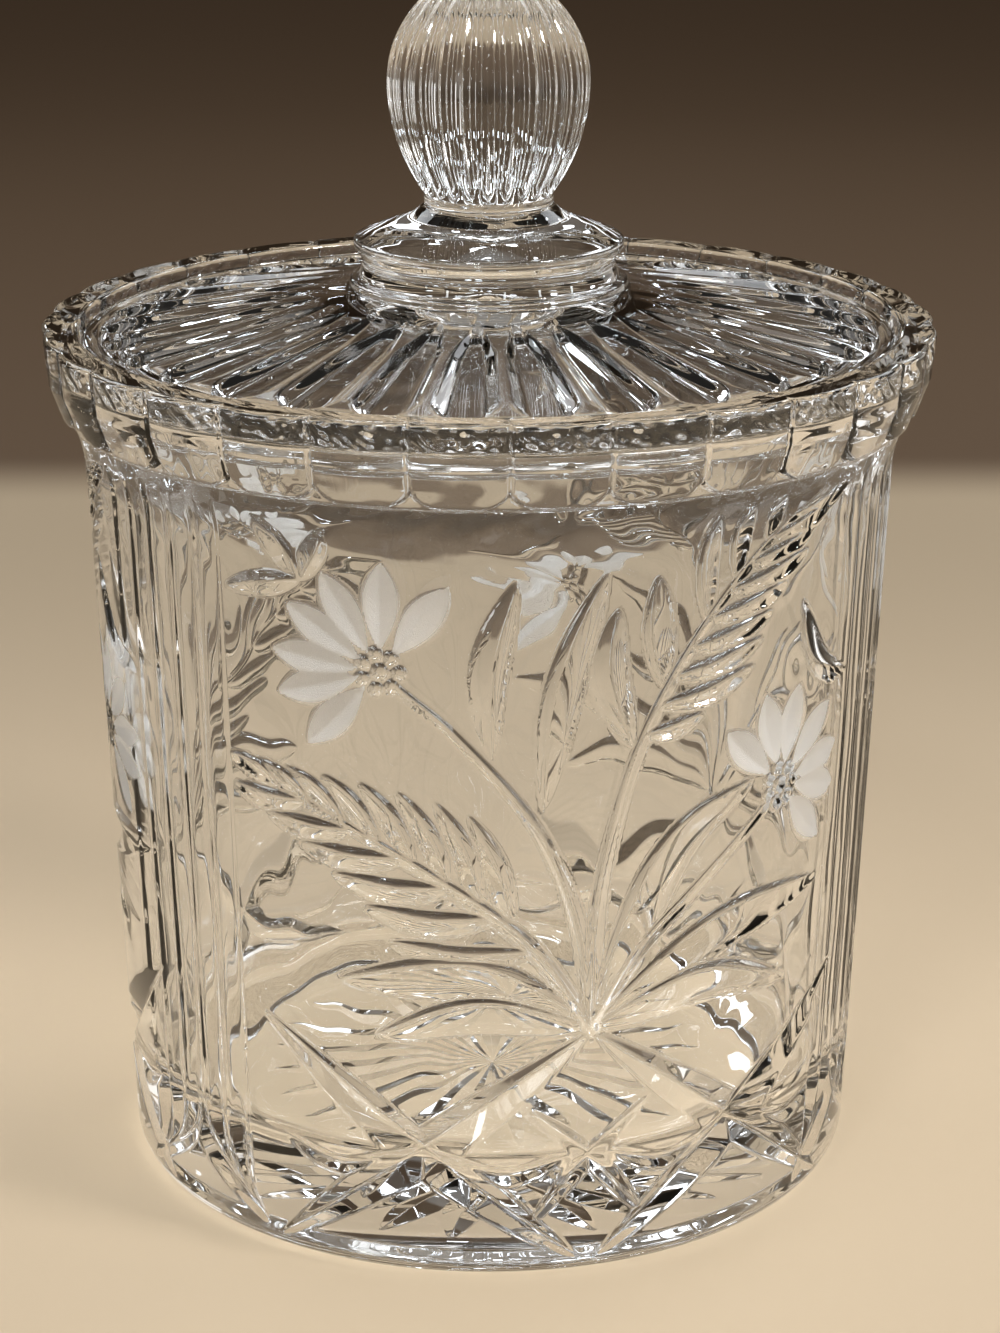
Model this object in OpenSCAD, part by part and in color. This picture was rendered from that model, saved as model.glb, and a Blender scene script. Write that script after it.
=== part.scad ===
// Cut crystal biscuit jar with a lift-off lid and a ribbed ball knob.
// Millimetres, +Z up. The origin is the centre of the plane that the jar rests on, and the root of one
// of the carved plants is at the front, at -Y. Angles round the jar are counted from there, towards +X.

/* [Jar] */
// Height of the jar from the table to the top of its rim
jar_h = 157.5; // [140:0.5:190]
// Radius of the wall, run straight down to the table
wall_base_r = 67.5; // [62:0.5:71]
// Radius of the wall where it meets the rim
wall_top_r = 73.3; // [71.5:0.1:76]
// Thickness of the wall
wall_t = 5.5; // [4.5:0.1:8]
// Thickness of the floor
floor_t = 18; // [10:0.5:26]
// Radius of the hollow corner between the floor and the wall
floor_corner_r = 9; // [4:0.5:14]
// Radius of the rounded edge round the base
base_round_r = 5.5; // [3:0.1:8]
// Width of the flat ring that rests on the table
rest_ring_w = 9; // [5:0.5:16]
// Height of the hollow under the base
base_hollow_h = 1.2; // [0.6:0.1:3]

/* [Rim] */
// Largest radius of the rim, over its lobes
rim_r = 80; // [79:0.1:86]
// Height of the upright band of the rim
rim_band_h = 8; // [7:0.5:14]
// How far that band leans in towards its lower edge
rim_band_in = 0.7; // [0.2:0.1:1.5]
// Height of the facets below the band
rim_facet_h = 6.5; // [4:0.5:12]
// How far the facets lean in towards their lower edge
rim_facet_in = 2.4; // [1:0.1:3]
// Height of the cove from the facets down to the wall
rim_cove_h = 11; // [6:0.5:16]
// How far the cove stands out from the wall under the facets
rim_lip = 2; // [0.8:0.1:2.5]
// Number of lobes round the rim
lobe_count = 30; // [24:3:36]
// Depth of the notch between two lobes
lobe_depth = 1.2; // [0.6:0.1:2]
// Width of the rim's top, from a notch to the recess for the lid
rim_top_w = 5.4; // [4:0.1:6.5]
// Depth of the recess that the lid sits in
recess_h = 6; // [5:0.1:9]
// Width of the ledge that carries the lid
ledge_w = 2.4; // [1.8:0.1:5]
// Height of the mouth's flare, from the straight inside of the wall up to the ledge
mouth_flare_h = 9; // [5:0.5:14]

/* [Lid] */
// Gap between the lid's edge and the recess
lid_gap = 0.6; // [0.3:0.1:1.2]
// Thickness of the lid at its edge
lid_edge_t = 4.2; // [3:0.1:5]
// Rise of the lid's top from its edge to the collar
lid_rise = 8; // [5:0.5:14]
// Thickness of the lid's plate
lid_t = 5; // [4:0.1:7]
// Height of the ring under the lid that keeps it in the mouth
keeper_h = 4; // [2:0.1:8]
// Width of that ring
keeper_w = 3.5; // [2.5:0.1:6]
// Gap between that ring's lower edge and the flared mouth
keeper_gap = 1; // [0.5:0.1:2]
// Number of petals cut round the lid
petal_count = 30; // [24:3:36]
// Depth of a petal near its round outer end
petal_depth = 1.6; // [0.8:0.1:2]
// Radius at which the petals come to a point
petal_inner_r = 31; // [29:0.5:38]
// Width of the plain edge outside the petals
petal_border = 3.2; // [2.4:0.1:5]

/* [Collar] */
// Radius of the collar's foot ring
collar_foot_r = 24.9; // [24.5:0.1:28]
// Height of the foot ring
collar_foot_h = 1.4; // [0.8:0.1:2.5]
// Width of the step on top of the foot ring
collar_step_w = 1.5; // [0.8:0.1:2.2]
// Radius of the waist between the foot ring and the disc
collar_waist_r = 22.3; // [19:0.1:23]
// Height of the waist above the lid's top
collar_waist_z = 4.6; // [3.5:0.1:6]
// Radius of the disc above the waist
collar_r = 24.1; // [23.2:0.1:27]
// Height of the disc's lower edge above the lid's top
collar_disc_z = 7; // [6.2:0.1:8.5]
// Thickness of the disc's edge
collar_disc_t = 1.4; // [0.8:0.1:2]
// Height of the collar from the lid's top to the knob
collar_h = 14.6; // [12:0.1:20]
// How far the collar flares out from the knob's neck
neck_flare_w = 2.8; // [1:0.1:4]
// Height of that flare
neck_flare_h = 2.4; // [1:0.1:3.4]

/* [Knob] */
// Radius of the knob's neck
neck_r = 11.5; // [9:0.1:13]
// Height of the plain neck ring
neck_h = 1.2; // [0.8:0.1:5]
// Largest radius of the ball, over its ribs
ball_r = 17.9; // [14.5:0.1:20]
// Height of the ball from the neck ring to its top
ball_h = 40; // [32:0.5:48]
// Number of ribs round the ball
rib_count = 24; // [16:2:30]
// Depth of the hollows between the ribs
rib_depth = 0.7; // [0.4:0.1:1.4]

/* [Cutting] */
// Number of carved panels, each with its group of flutes
panel_count = 3; // [2:1:3]
// Number of flutes in a group
flute_count = 5; // [3:1:5]
// Angle taken by one flute
flute_angle = 5; // [4:0.1:5.4]
// Depth of a flute
flute_depth = 0.7; // [0.5:0.1:1.8]
// Height at which the flutes end above the base
flute_foot_z = 29; // [24:0.5:40]
// Angle from a plant's root to the middle of the flutes on its left
flute_group_at = 65; // [62:0.5:68]
// Height at which the crossed cuts of the base cross
cross_z = 25; // [20:0.5:28]
// Angle from a plant's root to a large cross on each side
cross_at = 24.5; // [22:0.5:26]
// Half of the angle that one large crossed cut spans
cross_half_angle = 24.5; // [18:0.5:26]
// Half of the height that one large crossed cut spans
cross_half_h = 21; // [14:0.5:22]
// Depth of the large crossed cuts
cross_depth = 2.6; // [1:0.1:3.4]
// Included angle of the crossed cuts
cut_v_angle = 110; // [90:5:130]
// Half width of the small cuts between the large crosses
small_cut_half_w = 2; // [1:0.1:2.6]
// Depth of the small cuts between the large crosses
small_cut_depth = 1.1; // [0.6:0.1:1.8]
// Half width of the cuts that fan out under a group of flutes
fan_half_w = 3; // [2:0.1:3.4]
// Depth of the cuts that fan out under a group of flutes
fan_depth = 1.6; // [0.8:0.1:2.2]

/* [Plant] */
// Height of the plant's root above the base
root_z = 48.5; // [46:0.5:54]
// Half width of the plain leaves
leaf_half_w = 3.5; // [2.4:0.1:4]
// Depth of the plain leaves
leaf_depth = 1.8; // [0.8:0.1:2.4]
// Half width of the narrow leaves of a frond
leaflet_half_w = 2.1; // [1.4:0.1:2.6]
// Depth of the narrow leaves of a frond
leaflet_depth = 1.3; // [0.6:0.1:1.8]
// Half width of a stem at the root
stem_half_w = 1.6; // [1:0.1:2]
// Depth of a stem at the root
stem_depth = 1.4; // [0.8:0.1:2]
// Length of a flower's petals
flower_petal_l = 15; // [10:0.5:16]
// Half width of a flower's petals
flower_petal_half_w = 3.3; // [2:0.1:3.6]
// Depth of a flower's petals
flower_petal_depth = 1; // [0.5:0.1:1.4]

/* [Hidden] */
$fn = 96;
// Extra length that a cutter runs past the face that it opens on
past = 1;
// Small chamfer on the rim's and the lid's edges
edge_c = 0.8;
// How far the plant's cutters stand out from the wall
cut_cover = 4;
// Radius of a flower's plain middle, where its petals start
flower_middle_r = 4;

// Jar
band_z = jar_h - rim_band_h;
rim_z = band_z - rim_facet_h;
cove_z = rim_z - rim_cove_h;
ledge_z = jar_h - recess_h;
recess_r = rim_r - lobe_depth - rim_top_w;
mouth_r = recess_r - ledge_w;
flare_z = ledge_z - mouth_flare_h;
wall_lean = atan((wall_top_r - wall_base_r) / rim_z);
function wall_r(z) = wall_base_r + z * tan(wall_lean);
function bore_r(z) = wall_r(z) - wall_t;
mouth_slope = (mouth_r - bore_r(flare_z)) / mouth_flare_h;
rest_r = wall_base_r - base_round_r * (1 - sin(wall_lean)) / cos(wall_lean);
hollow_r = rest_r - rest_ring_w;

// Rim lobes: circles that meet at the notches
lobe_step = 360 / lobe_count;
notch_r = rim_r - lobe_depth;
lobe_centre_r = (rim_r * rim_r - notch_r * notch_r) / (2 * (rim_r - notch_r * cos(lobe_step / 2)));
lobe_arc_r = rim_r - lobe_centre_r;

// Plant, drawn as angles and as heights above its root, with this much height from the root up to the cove
plant_drawn_h = 83;
plant_unit = (cove_z - root_z) / plant_drawn_h;
deg_mm = wall_r(jar_h / 2) * PI / 180;
left_frond = [[0, 0], [-9.5, 17], [-23, 29.5], [-37, 38], [-49, 44]];
right_frond = [[0, 0], [1, 25], [5.5, 48], [12.5, 66], [21, 78], [29, 84]];
left_flower = [-29, 65];
right_flower = [30, 38];
left_flower_stem = [[-0.6, 3], [-2.2, 20], [-8, 37.5], [-18.5, 53.5], [-25.5, 61.5]];
right_flower_stem = [[1.5, 3], [7, 13], [15.5, 23], [26.5, 34]];
// Middle lines of the plain leaves, which start near the root or near a stem
plain_leaves = [
    [[-2, 3.5], [-16, 10], [-36, 8.5]],
    [[-3, 1], [-16, 3.5], [-31, -1.5]],
    [[2, 6], [11.5, 30.5], [24, 40]],
    [[3, 2.5], [20, 14.5], [40, 17.5]],
    [[3, 0], [18, 5], [33.5, 0.5]],
    [[-14.5, 52], [-15.5, 65.5], [-11, 80]],
    [[-7, 42], [-5, 61.5], [0.5, 81]],
    [[4.5, 52], [1.5, 63.5], [2.5, 75]],
    [[8.5, 62], [8, 71.5], [8, 79.5]]
];

// Lid
lid_r = recess_r - lid_gap;
lid_edge_z = ledge_z + lid_edge_t;
petal_outer_r = lid_r - petal_border;
lid_slope = atan(lid_rise / (petal_outer_r - collar_foot_r));
function lid_top_z(r) = lid_edge_z + (petal_outer_r - r) * tan(lid_slope);
keeper_r = mouth_r - keeper_h * mouth_slope - keeper_gap;
plate_drop = lid_t / cos(lid_slope);
collar_foot_z = lid_top_z(collar_foot_r);
collar_top_z = collar_foot_z + collar_h;

// Knob
ball_foot_z = collar_top_z + neck_h;
ball_top_z = ball_foot_z + ball_h;
ball_mid_z = ball_foot_z + ball_h / 2;
// Arc of the ball's lower half, which leans in to the neck, and of its upper half
lower_arc_r = ((ball_r - neck_r) ^ 2 + (ball_h / 2) ^ 2) / (2 * (ball_r - neck_r));
upper_arc_r = (ball_r ^ 2 + (ball_h / 2) ^ 2) / (2 * ball_r);

// Turns a piece made on +X to its place round the jar
module at_angle(a) {
    rotate([0, 0, a - 90]) children();
}

module for_panels() {
    for (i = [0:panel_count - 1]) rotate([0, 0, i * 360 / panel_count]) children();
}

// Outline of the jar's outside, from the axis outwards
module jar_outside() {
    cove_steps = 5;
    polygon([
        [0, 0],
        [rest_r, 0],
        [rest_r, base_round_r],
        [rest_r + base_round_r * cos(wall_lean), base_round_r * (1 - sin(wall_lean))],
        for (k = [0:cove_steps])
            let (t = k / cove_steps, z = cove_z + t * (rim_cove_h - edge_c))
            [wall_r(z) + rim_lip * t ^ 2, z],
        [rim_r - rim_band_in - rim_facet_in, rim_z],
        [rim_r - rim_band_in, band_z],
        [rim_r, jar_h - edge_c],
        [rim_r - edge_c, jar_h],
        [0, jar_h]
    ]);
    translate([rest_r, base_round_r]) circle(r = base_round_r);
}

// Outline of the space inside the jar, with the recess for the lid
module jar_inside() {
    corner_x = bore_r(floor_t) - floor_corner_r * (1 - sin(wall_lean)) / cos(wall_lean);
    polygon([
        [0, floor_t],
        [corner_x, floor_t],
        [corner_x, floor_t + floor_corner_r],
        [corner_x + floor_corner_r * cos(wall_lean), floor_t + floor_corner_r * (1 - sin(wall_lean))],
        [bore_r(flare_z), flare_z],
        [mouth_r, ledge_z],
        [recess_r, ledge_z],
        [recess_r, jar_h - edge_c],
        [recess_r + edge_c, jar_h],
        [recess_r + edge_c, jar_h + past],
        [0, jar_h + past]
    ]);
    translate([corner_x, floor_t + floor_corner_r]) circle(r = floor_corner_r);
}

module base_hollow() {
    polygon([
        [0, -past],
        [hollow_r, -past],
        [hollow_r, 0],
        [hollow_r - 2 * base_hollow_h, base_hollow_h],
        [0, base_hollow_h]
    ]);
}

// What the lobed outline leaves of a ring round the rim
module rim_notches() {
    translate([0, 0, rim_z - past]) linear_extrude(rim_band_h + rim_facet_h + 2 * past)
        difference() {
            circle(r = rim_r + lobe_arc_r);
            circle(r = notch_r - lobe_depth);
            for (i = [0:lobe_count - 1]) rotate(i * lobe_step + lobe_step / 2 - 90)
                translate([lobe_centre_r, 0]) circle(r = lobe_arc_r);
        }
}

// Group of upright hollows side by side: one prism, lying along the leaning wall
module flutes() {
    // A narrow ridge is left between two flutes
    flute_share = 0.97;
    chord = 2 * wall_r(jar_h / 2) * sin(flute_angle / 2) * flute_share;
    flute_r = (chord * chord / 4 + flute_depth * flute_depth) / (2 * flute_depth);
    at_angle(-flute_group_at) translate([wall_r(flute_foot_z), 0, flute_foot_z]) rotate([0, wall_lean, 0])
        linear_extrude((cove_z - flute_foot_z) / cos(wall_lean))
            for (k = [0:flute_count - 1]) translate([-wall_r(jar_h / 2), 0])
                rotate((k - (flute_count - 1) / 2) * flute_angle)
                    translate([wall_r(jar_h / 2) + flute_r - flute_depth, 0]) circle(r = flute_r);
}

// V cut that follows the wall: a ring whose inner edge dips below the wall between the cut's two ends
module crossed_cut(a, half_angle, half_h, depth) {
    mid_r = wall_r(cross_z);
    half_run = mid_r * half_angle * PI / 180;
    half_len = sqrt(half_run * half_run + half_h * half_h);
    steep = atan(half_h / half_run);
    wall_bend = cos(steep) ^ 2 / mid_r;
    ring_r = 1 / (wall_bend - 2 * depth / half_len ^ 2);
    ring_w = depth * 3;
    sweep = 2 * asin(min(1, 1.3 * half_len / ring_r));
    at_angle(a) translate([mid_r, 0, cross_z]) rotate([0, wall_lean, 0]) rotate([steep, 0, 0])
        translate([-depth - ring_r, 0, 0]) rotate([0, 0, -sweep / 2])
            rotate_extrude(angle = sweep, $fn = 96)
                polygon([
                    [ring_r, 0],
                    [ring_r + ring_w, ring_w * tan(cut_v_angle / 2)],
                    [ring_r + ring_w, -ring_w * tan(cut_v_angle / 2)]
                ]);
}

module crosses() {
    for (side = [-1, 1], lean = [-1, 1])
        crossed_cut(side * cross_at, lean * cross_half_angle, cross_half_h, cross_depth);
}

// Level cuts that reach out from each large cross, and a small cross between two of them
module small_cuts() {
    level_z = cross_z - 0.5;
    // Angles from a large cross to the two ends of a level cut
    level_from = 3;
    level_to = 21.5;
    // Angle and height of the small cross's upper and lower ends, from the middle of the large crosses
    upper_end = [9, 9];
    lower_end = [9.5, -15];
    for (side = [-1, 1], way = [-1, 1])
        leaf_cut(
            [side * cross_at + way * level_from, level_z],
            [side * cross_at + way * level_to, level_z],
            small_cut_half_w, small_cut_depth
        );
    for (side = [-1, 1])
        leaf_cut(
            [side * upper_end[0], cross_z + upper_end[1]],
            [-side * lower_end[0], cross_z + lower_end[1]],
            small_cut_half_w, small_cut_depth
        );
}

// Pointed cuts that fan out under a group of flutes, to a point low on each side
module fan() {
    // Angle from the middle of the flutes to the point on each side
    point_turn = 15;
    // What the cuts leave plain under the flutes and above the rounded edge of the base
    end_gap = 1;
    for (side = [-1, 1], k = [0:2])
        leaf_cut(
            [side * k * flute_angle - flute_group_at, flute_foot_z - end_gap],
            [side * point_turn - flute_group_at, base_round_r + end_gap],
            fan_half_w, fan_depth
        );
}

// Place on the wall of a point of the plant's drawing
function drawn(p) = [p[0], root_z + p[1] * plant_unit];

// Point in space at an angle and a height, some way out from the wall
function on_wall(p, out) =
    let (r = wall_r(p[1]) + out, a = p[0] - 90)
    [r * cos(a), r * sin(a), p[1]];

// Point at a share of a smooth line through a path's points
function smooth(path, share) =
    let (
        n = len(path) - 1,
        i = min(floor(share * n), n - 1),
        t = share * n - i,
        a = path[max(i - 1, 0)],
        b = path[i],
        c = path[i + 1],
        d = path[min(i + 2, n)]
    )
    (2 * b + (c - a) * t + (2 * a - 5 * b + 4 * c - d) * t ^ 2 + (3 * b - a - 3 * c + d) * t ^ 3) / 2;

// How far a cutter's edge has to stand out, so that a straight run between two points clears the round wall
function cut_lift(run_deg) = 0.05 + (run_deg * deg_mm) ^ 2 / (8 * wall_base_r);

// Straight V cut from one point on the wall to another, deepest half-way; bend moves its middle sideways
module leaf_cut(start, end, half_w, depth, bend = 0) {
    run = [(end[0] - start[0]) * deg_mm, end[1] - start[1]];
    lift = cut_lift((end[0] - start[0]) / 2);
    grow = 1 + lift / depth;
    side = [-run[1] / deg_mm, run[0]] / norm(run);
    middle = (start + end) / 2 + side * bend * norm(run);
    across = side * half_w * grow;
    along = (end - start) / 2 * grow;
    points = [
        on_wall(middle, -depth),
        on_wall((start + end) / 2 - along, lift),
        on_wall(middle - across, lift),
        on_wall((start + end) / 2 + along, lift),
        on_wall(middle + across, lift),
        on_wall(middle, cut_cover)
    ];
    polyhedron(points, [for (k = [1:4]) each [[0, k, k % 4 + 1], [5, k % 4 + 1, k]]]);
}

// V cut along a smooth line, whose half width and depth follow a list of shares
module long_cut(path, shares, half_w, depth) {
    last = len(shares) - 1;
    centre = [for (i = [0:last]) smooth(path, i / last)];
    points = [
        for (i = [0:last])
            let (
                ahead = centre[min(i + 1, last)] - centre[max(i - 1, 0)],
                run = [ahead[0] * deg_mm, ahead[1]],
                lift = cut_lift(ahead[0] / 2),
                across = [-run[1] / deg_mm, run[0]] / norm(run) * half_w * (shares[i] + lift / depth)
            )
            each [
                on_wall(centre[i], -depth * shares[i]),
                on_wall(centre[i] - across, lift),
                on_wall(centre[i], cut_cover),
                on_wall(centre[i] + across, lift)
            ]
    ];
    sides = [
        for (i = [0:last - 1], k = [0:3])
            let (a = 4 * i + k, b = 4 * i + (k + 1) % 4)
            each [[a, b, a + 4], [b, b + 4, a + 4]]
    ];
    polyhedron(points, concat([[3, 2, 1, 0]], sides, [[for (k = [0:3]) 4 * last + k]]));
}

// Row of narrow leaves on one side of a frond; the directions and lengths go from the row's first to its last
module leaflets(frond, count, shares, lengths, directions, bend) {
    for (k = [0:count - 1])
        let (
            t = k / (count - 1),
            base = drawn(smooth(frond, shares[0] + t * (shares[1] - shares[0]))),
            turn = directions[0] + t ^ 1.5 * (directions[1] - directions[0]),
            length = lengths[0] + t * (lengths[1] - lengths[0]),
            way = [cos(turn) / deg_mm, sin(turn)]
        )
        leaf_cut(base + way * stem_half_w, base + way * length, leaflet_half_w, leaflet_depth, bend);
}

module flower(centre, directions) {
    for (turn = directions)
        let (way = [cos(turn) / deg_mm, sin(turn)])
        leaf_cut(
            centre + way * flower_middle_r,
            centre + way * (flower_middle_r + flower_petal_l),
            flower_petal_half_w, flower_petal_depth
        );
}

// Two flowers, two fronds and plain leaves that grow from one root
module plant() {
    stem_shares = [0.9, 1, 0.95, 0.9, 0.85, 0.8, 0.7, 0.6, 0.45];
    leaf_shares = [0.25, 0.75, 1, 0.75, 0.25];
    for (stem = [left_frond, right_frond, left_flower_stem, right_flower_stem])
        long_cut([for (p = stem) drawn(p)], stem_shares, stem_half_w, stem_depth);
    for (leaf = plain_leaves) long_cut([for (p = leaf) drawn(p)], leaf_shares, leaf_half_w, leaf_depth);
    leaflets(left_frond, 8, [0.33, 0.93], [22.5, 10.5], [109, 158], -0.06);
    leaflets(left_frond, 6, [0.25, 0.86], [25, 14], [177, 177], 0.07);
    leaflets(right_frond, 3, [0.72, 0.87], [18, 9], [87, 75], 0.05);
    leaflets(right_frond, 9, [0.5, 0.93], [17, 13], [13, 13], -0.06);
    flower(drawn(left_flower), [227, 197, 174, 147, 120, 88, 53]);
    flower(drawn(right_flower), [136, 105, 78, 42, 10, -15, -47]);
}

module jar() {
    color([0.86, 0.87, 0.85, 0.45]) difference() {
        rotate_extrude() difference() {
            intersection() {
                jar_outside();
                square([rim_r, jar_h]);
            }
            jar_inside();
            base_hollow();
        }
        rim_notches();
        for_panels() {
            flutes();
            crosses();
            small_cuts();
            fan();
            plant();
        }
    }
}

// One petal: a shallow trough that comes to a point inwards and has a round outer end
module petal() {
    // Share of the petal's length, and share of its full width and depth there
    stations = [[0, 0.06], [0.25, 0.55], [0.55, 0.8], [0.85, 1], [0.95, 0.8], [1, 0.4]];
    across = [-1, -0.45, 0.45, 1];
    // A narrow ridge is left between two petals
    petal_share = 0.93;
    half_w = petal_outer_r * tan(180 / petal_count) * petal_share;
    cover = 1.5;
    rows = len(across);
    floor_points = [
        for (s = stations, u = across)
            let (r = petal_inner_r + s[0] * (petal_outer_r - petal_inner_r))
            [
                r,
                u * half_w * s[1] * (0.55 + 0.45 * s[0]),
                lid_top_z(r) - petal_depth * s[1] * (1 - u * u) + (abs(u) == 1 ? past / 20 : 0)
            ]
    ];
    points = concat(floor_points, [for (p = floor_points) [p[0], p[1], lid_top_z(p[0]) + cover]]);
    n = len(floor_points);
    last = len(stations) - 1;
    skin = [
        for (i = [0:last - 1], j = [0:rows - 2])
            [i * rows + j, (i + 1) * rows + j, (i + 1) * rows + j + 1, i * rows + j + 1]
    ];
    rim_path = concat(
        [for (j = [0:rows - 1]) j],
        [for (i = [1:last]) i * rows + rows - 1],
        [for (j = [rows - 2:-1:0]) last * rows + j],
        [for (i = [last - 1:-1:1]) i * rows]
    );
    m = len(rim_path);
    walls = [
        for (k = [0:m - 1])
            let (a = rim_path[k], b = rim_path[(k + 1) % m])
            [a, b, b + n, a + n]
    ];
    lid_skin = [for (f = skin) [f[3] + n, f[2] + n, f[1] + n, f[0] + n]];
    polyhedron(points, concat(skin, walls, lid_skin));
}

// Outline of the lid with its collar, from the axis outwards
module lid_outline() {
    under_r = keeper_r - keeper_w;
    polygon([
        [0, lid_top_z(0) - plate_drop],
        [under_r, max(lid_top_z(under_r) - plate_drop, ledge_z - keeper_h + edge_c)],
        [under_r, ledge_z - keeper_h],
        [keeper_r, ledge_z - keeper_h],
        [keeper_r, ledge_z],
        [lid_r, ledge_z],
        [lid_r, lid_edge_z - edge_c],
        [lid_r - edge_c, lid_edge_z],
        [petal_outer_r, lid_edge_z],
        [collar_foot_r, collar_foot_z],
        [0, collar_foot_z]
    ]);
    collar_outline();
}

// Foot ring, waist, disc, and the dome that flares up to the knob's neck
module collar_outline() {
    flare_steps = 4;
    foot_top_z = collar_foot_z + collar_foot_h;
    disc_z = collar_foot_z + collar_disc_z;
    polygon([
        [0, collar_foot_z - past],
        [collar_foot_r - past, collar_foot_z - past],
        [collar_foot_r, collar_foot_z],
        [collar_foot_r, foot_top_z],
        [collar_foot_r - collar_step_w, foot_top_z],
        [collar_waist_r, collar_foot_z + collar_waist_z],
        [collar_r, disc_z],
        [collar_r, disc_z + collar_disc_t],
        for (k = [flare_steps:-1:0])
            let (t = k / flare_steps)
            [neck_r + neck_flare_w * t ^ 2, collar_top_z - neck_flare_h * t],
        [0, collar_top_z]
    ]);
}

module lid() {
    color([0.88, 0.89, 0.87, 0.45]) difference() {
        rotate_extrude() lid_outline();
        for (i = [0:petal_count - 1]) at_angle(i * 360 / petal_count) petal();
    }
}

// Radius of the ball at a share of its height, from 0 at the neck to 1 at the top
function ball_profile(share) =
    let (z = (share - 0.5) * ball_h)
    z < 0
        ? ball_r - lower_arc_r + sqrt(lower_arc_r ^ 2 - z ^ 2)
        : ball_r - upper_arc_r + sqrt(max(0, upper_arc_r ^ 2 - z ^ 2));

// Ball with hollows between its ribs, swept ring by ring
module ribbed_ball() {
    rings = 22;
    steps = 4 * rib_count;
    share = [for (i = [0:rings - 1]) 0.5 - 0.5 * cos(180 * (i + 0.35) / rings)];
    points = [
        for (i = [0:rings - 1], k = [0:steps - 1])
            let (
                a = 360 * k / steps,
                // Full depth round the middle, fading to nothing at the neck and at the top
                fade = min(1, 4 * share[i], 3 * (1 - share[i])),
                r = ball_profile(share[i]) - rib_depth * fade * abs(cos(rib_count * a / 2))
            )
            [r * cos(a), r * sin(a), ball_foot_z + share[i] * ball_h]
    ];
    sides = [
        for (i = [0:rings - 2], k = [0:steps - 1])
            let (n = (k + 1) % steps)
            [i * steps + k, (i + 1) * steps + k, (i + 1) * steps + n, i * steps + n]
    ];
    bottom = [[for (k = [0:steps - 1]) k]];
    top = [[for (k = [steps - 1:-1:0]) (rings - 1) * steps + k]];
    polyhedron(points, concat(bottom, sides, top));
}

module knob() {
    color([0.9, 0.91, 0.89, 0.45]) {
        translate([0, 0, collar_top_z]) cylinder(h = neck_h + ball_h / 40, r = neck_r);
        ribbed_ball();
    }
}

jar();
lid();
knob();
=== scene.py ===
"""Looks of the cut crystal biscuit jar: carved jar, lid and knob in clear glass, camera, floor and lamps."""
import math
import bpy
import numpy as np
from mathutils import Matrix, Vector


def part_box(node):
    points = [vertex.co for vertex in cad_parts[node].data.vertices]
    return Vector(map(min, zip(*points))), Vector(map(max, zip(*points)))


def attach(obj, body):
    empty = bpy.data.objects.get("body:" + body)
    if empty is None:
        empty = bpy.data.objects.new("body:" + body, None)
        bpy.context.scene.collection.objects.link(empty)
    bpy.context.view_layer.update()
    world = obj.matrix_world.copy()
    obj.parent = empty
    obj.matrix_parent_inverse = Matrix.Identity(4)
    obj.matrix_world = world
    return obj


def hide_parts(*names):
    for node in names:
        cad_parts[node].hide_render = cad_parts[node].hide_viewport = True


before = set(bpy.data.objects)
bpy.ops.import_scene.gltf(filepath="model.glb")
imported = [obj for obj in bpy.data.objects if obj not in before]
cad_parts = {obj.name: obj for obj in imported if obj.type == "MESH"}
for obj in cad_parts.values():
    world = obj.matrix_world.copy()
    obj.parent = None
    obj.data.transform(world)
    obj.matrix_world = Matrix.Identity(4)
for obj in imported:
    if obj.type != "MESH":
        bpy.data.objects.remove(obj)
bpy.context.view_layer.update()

MM = 0.001
PANELS = 3
PANEL_ANGLE = 360 / PANELS

# ---------------------------------------------------------------- sizes in mm, as in the frame
jar_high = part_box("jar")[1]
lid_low, lid_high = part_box("lid")
knob_low, knob_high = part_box("knob")
JAR_H = jar_high.z / MM
RIM_R = jar_high.x / MM
KEEPER_Z = lid_low.z / MM
LID_R = lid_high.x / MM
COLLAR_TOP_Z = knob_low.z / MM
KNOB_TOP_Z = knob_high.z / MM

EDGE_ROUND = 0.8
WALL_BASE_R = 67.5
WALL_TOP_R = 73.3
WALL_T = 5.5
FLOOR_Z = 18
FLOOR_CORNER_R = 9
BASE_ROUND_R = 5.3
REST_R = 62.2
HOLLOW_R = 53.2
HOLLOW_H = 1.2

BAND_H = 8
BAND_IN = 0.7
FACET_H = 6.5
FACET_IN = 2.4
COVE_H = 11
RIM_LIP = 2.0
LOBES = 30
LOBE_DEPTH = 0.9
RECESS_R = 73.4
RECESS_H = 6
LEDGE_W = 2.4
FLARE_H = 9
BAND_Z = JAR_H - BAND_H
RIM_Z = BAND_Z - FACET_H
COVE = [(t, RIM_Z - COVE_H + (COVE_H - EDGE_ROUND) * t) for t in np.linspace(0, 1, 20)]
LEDGE_Z = JAR_H - RECESS_H
MOUTH_R = RECESS_R - LEDGE_W
FLARE_Z = LEDGE_Z - FLARE_H

# Grid of the revolved meshes: columns round the axis, and the distance between rows
COLUMNS = 1200
ROW_STEP = 0.42
# Radius at which an outline stops beside the axis, where a fan closes it
TIP_R = 0.4


def wall_r(z):
    return WALL_BASE_R + (WALL_TOP_R - WALL_BASE_R) * z / RIM_Z


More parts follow.
